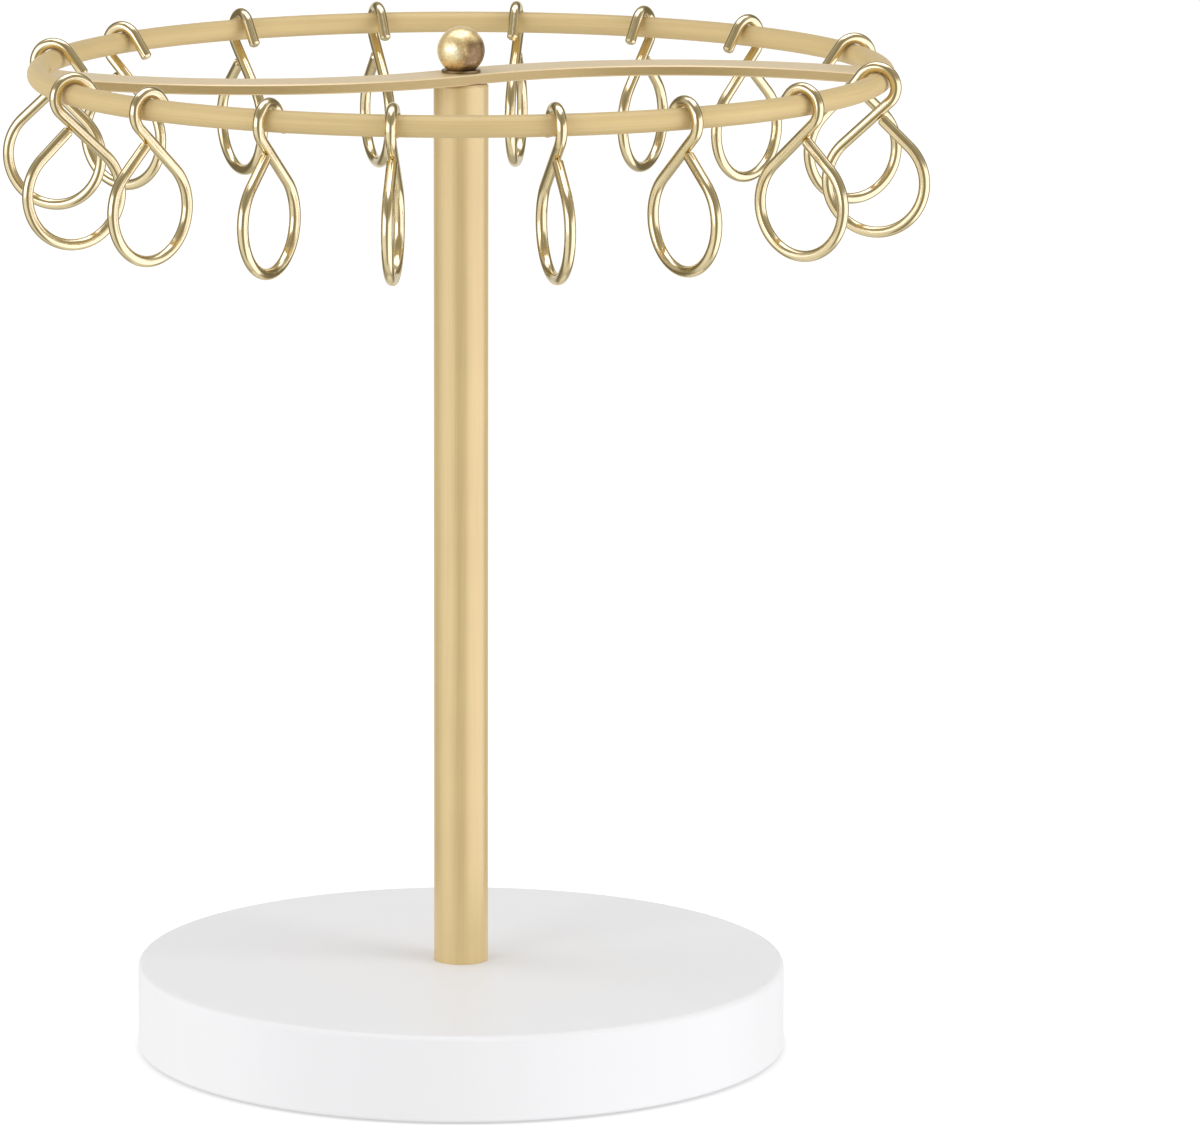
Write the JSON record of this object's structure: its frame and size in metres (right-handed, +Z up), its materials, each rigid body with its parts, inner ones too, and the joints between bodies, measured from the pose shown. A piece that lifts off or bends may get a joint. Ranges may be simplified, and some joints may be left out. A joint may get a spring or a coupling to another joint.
{
  "type": "hair clip organizer",
  "caption": "Free-standing hair clip organizer: round white base, gold pole and a turning ring hung with swinging wire loop hooks.",
  "frame": {"origin": "centre of the anti-slip pad's underside, on the surface that the organizer stands on", "axes": "+Z up along the pole, -Y towards the front, +X to the right as seen from the front"},
  "size_m": [0.2142, 0.2184, 0.241],
  "materials": {
    "base_white": "polished white, smooth, with crisp edges",
    "pad_soft": "matt foam rubber",
    "steel_hardware": "plain zinc-plated steel",
    "gold_satin": "satin gold plate on steel",
    "white_nylon": "plain nylon",
    "gold_washer": "dull gold plate",
    "gold_ball": "polished gold plate, slightly mottled",
    "gold_wire": "bright gold plate on steel wire"
  },
  "bodies": {
    "stand": {"base_disc": "base_white", "anti_slip_pad": "pad_soft", "base_screw": "steel_hardware", "base_washer": "steel_hardware", "pole": "gold_satin", "lower_plug": "steel_hardware", "upper_plug": "steel_hardware", "top_stud": "steel_hardware", "thrust_washer": "gold_washer", "top_washer": "gold_washer", "ball_finial": "gold_ball"},
    "ring_frame": {"ring": "gold_satin", "crossbar": "gold_satin", "pivot_bush": "white_nylon"},
    "hook_01": {"hook_01": "gold_wire"},
    "hook_02": {"hook_02": "gold_wire"},
    "hook_03": {"hook_03": "gold_wire"},
    "hook_04": {"hook_04": "gold_wire"},
    "hook_05": {"hook_05": "gold_wire"},
    "hook_06": {"hook_06": "gold_wire"},
    "hook_07": {"hook_07": "gold_wire"},
    "hook_08": {"hook_08": "gold_wire"},
    "hook_09": {"hook_09": "gold_wire"},
    "hook_10": {"hook_10": "gold_wire"},
    "hook_11": {"hook_11": "gold_wire"},
    "hook_12": {"hook_12": "gold_wire"},
    "hook_13": {"hook_13": "gold_wire"},
    "hook_14": {"hook_14": "gold_wire"},
    "hook_15": {"hook_15": "gold_wire"},
    "hook_16": {"hook_16": "gold_wire"}
  },
  "joints": [
    {"name": "ring_spin", "type": "hinge", "parent": "stand", "child": "ring_frame", "pos_m": [0, 0, 0.2306], "axis": [0, 0, 1], "continuous": true},
    {"name": "hook_01_swing", "type": "hinge", "parent": "ring_frame", "child": "hook_01", "pos_m": [0.09208, 0.03206, 0.2306], "axis": [0.3289, -0.9444, 0], "range_deg": [-45, 75]},
    {"name": "hook_02_swing", "type": "hinge", "parent": "ring_frame", "child": "hook_02", "pos_m": [0.06846, 0.06942, 0.2306], "axis": [0.712, -0.7022, 0], "range_deg": [-45, 75]},
    {"name": "hook_03_swing", "type": "hinge", "parent": "ring_frame", "child": "hook_03", "pos_m": [0.04396, 0.08703, 0.2306], "axis": [0.8926, -0.4509, 0], "range_deg": [-45, 75]},
    {"name": "hook_04_swing", "type": "hinge", "parent": "ring_frame", "child": "hook_04", "pos_m": [0.0134, 0.09657, 0.2306], "axis": [0.9905, -0.1374, 0], "range_deg": [-45, 75]},
    {"name": "hook_05_swing", "type": "hinge", "parent": "ring_frame", "child": "hook_05", "pos_m": [-0.02027, 0.09537, 0.2306], "axis": [0.9781, 0.2079, 0], "range_deg": [-45, 75]},
    {"name": "hook_06_swing", "type": "hinge", "parent": "ring_frame", "child": "hook_06", "pos_m": [-0.05282, 0.08196, 0.2306], "axis": [0.8406, 0.5417, 0], "range_deg": [-45, 75]},
    {"name": "hook_07_swing", "type": "hinge", "parent": "ring_frame", "child": "hook_07", "pos_m": [-0.08035, 0.05523, 0.2306], "axis": [0.5664, 0.8241, 0], "range_deg": [-45, 75]},
    {"name": "hook_08_swing", "type": "hinge", "parent": "ring_frame", "child": "hook_08", "pos_m": [-0.09504, 0.02177, 0.2306], "axis": [0.2233, 0.9748, 0], "range_deg": [-45, 75]},
    {"name": "hook_09_swing", "type": "hinge", "parent": "ring_frame", "child": "hook_09", "pos_m": [-0.08733, -0.04335, 0.2306], "axis": [-0.4446, 0.8957, 0], "range_deg": [-45, 75]},
    {"name": "hook_10_swing", "type": "hinge", "parent": "ring_frame", "child": "hook_10", "pos_m": [-0.06918, -0.0687, 0.2306], "axis": [-0.7046, 0.7096, 0], "range_deg": [-45, 75]},
    {"name": "hook_11_swing", "type": "hinge", "parent": "ring_frame", "child": "hook_11", "pos_m": [-0.04228, -0.08786, 0.2306], "axis": [-0.9011, 0.4337, 0], "range_deg": [-45, 75]},
    {"name": "hook_12_swing", "type": "hinge", "parent": "ring_frame", "child": "hook_12", "pos_m": [-0.01492, -0.09635, 0.2306], "axis": [-0.9882, 0.153, 0], "range_deg": [-45, 75]},
    {"name": "hook_13_swing", "type": "hinge", "parent": "ring_frame", "child": "hook_13", "pos_m": [0.02077, -0.09526, 0.2306], "axis": [-0.977, -0.213, 0], "range_deg": [-45, 75]},
    {"name": "hook_14_swing", "type": "hinge", "parent": "ring_frame", "child": "hook_14", "pos_m": [0.04934, -0.0841, 0.2306], "axis": [-0.8625, -0.506, 0], "range_deg": [-45, 75]},
    {"name": "hook_15_swing", "type": "hinge", "parent": "ring_frame", "child": "hook_15", "pos_m": [0.07609, -0.06096, 0.2306], "axis": [-0.6252, -0.7804, 0], "range_deg": [-45, 75]},
    {"name": "hook_16_swing", "type": "hinge", "parent": "ring_frame", "child": "hook_16", "pos_m": [0.09465, -0.02342, 0.2306], "axis": [-0.2402, -0.9707, 0], "range_deg": [-45, 75]}
  ]
}
